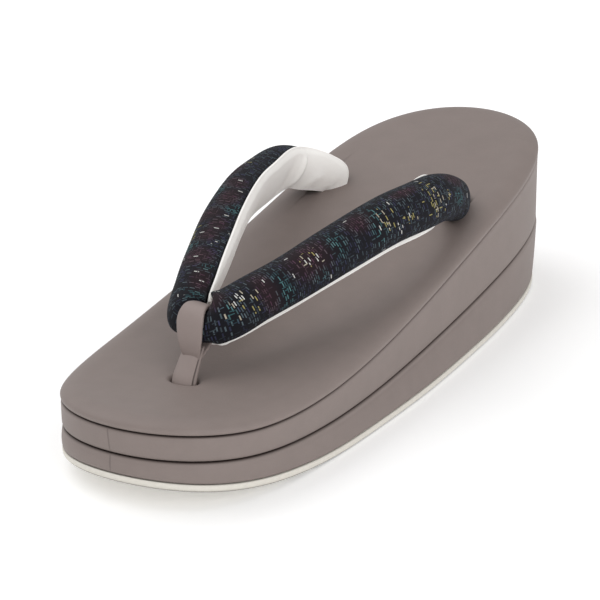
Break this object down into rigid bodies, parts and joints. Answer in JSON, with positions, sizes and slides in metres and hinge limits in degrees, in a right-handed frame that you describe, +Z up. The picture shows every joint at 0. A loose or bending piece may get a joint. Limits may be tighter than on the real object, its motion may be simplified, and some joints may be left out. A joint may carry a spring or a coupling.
{
  "type": "zori sandal",
  "caption": "Thick-soled zori sandal with a layered wedge sole in taupe leather cloth and a padded V strap in dark kasuri cloth, held by a leather toe loop.",
  "frame": {"origin": "on the floor, under the middle of the sole's length and width", "axes": "+Z up, toe towards -Y, heel towards +Y, +X the side nearer the picture's camera"},
  "size_m": [0.0878, 0.24, 0.0652],
  "materials": {
    "outsole_rubber": "matte off-white foam rubber",
    "sole_cover": "smooth matte taupe leather cloth",
    "strap_cloth": "woven near-black cloth with kasuri dashes",
    "lining_cloth": "plain cream-white cotton",
    "loop_leather": "smooth matte taupe leather cloth"
  },
  "bodies": {
    "root": {"outsole": "outsole_rubber", "lower_layer": "sole_cover", "middle_layer": "sole_cover", "footbed": "sole_cover", "strap": "strap_cloth", "strap_lining": "lining_cloth", "toe_loop": "loop_leather"}
  },
  "joints": []
}
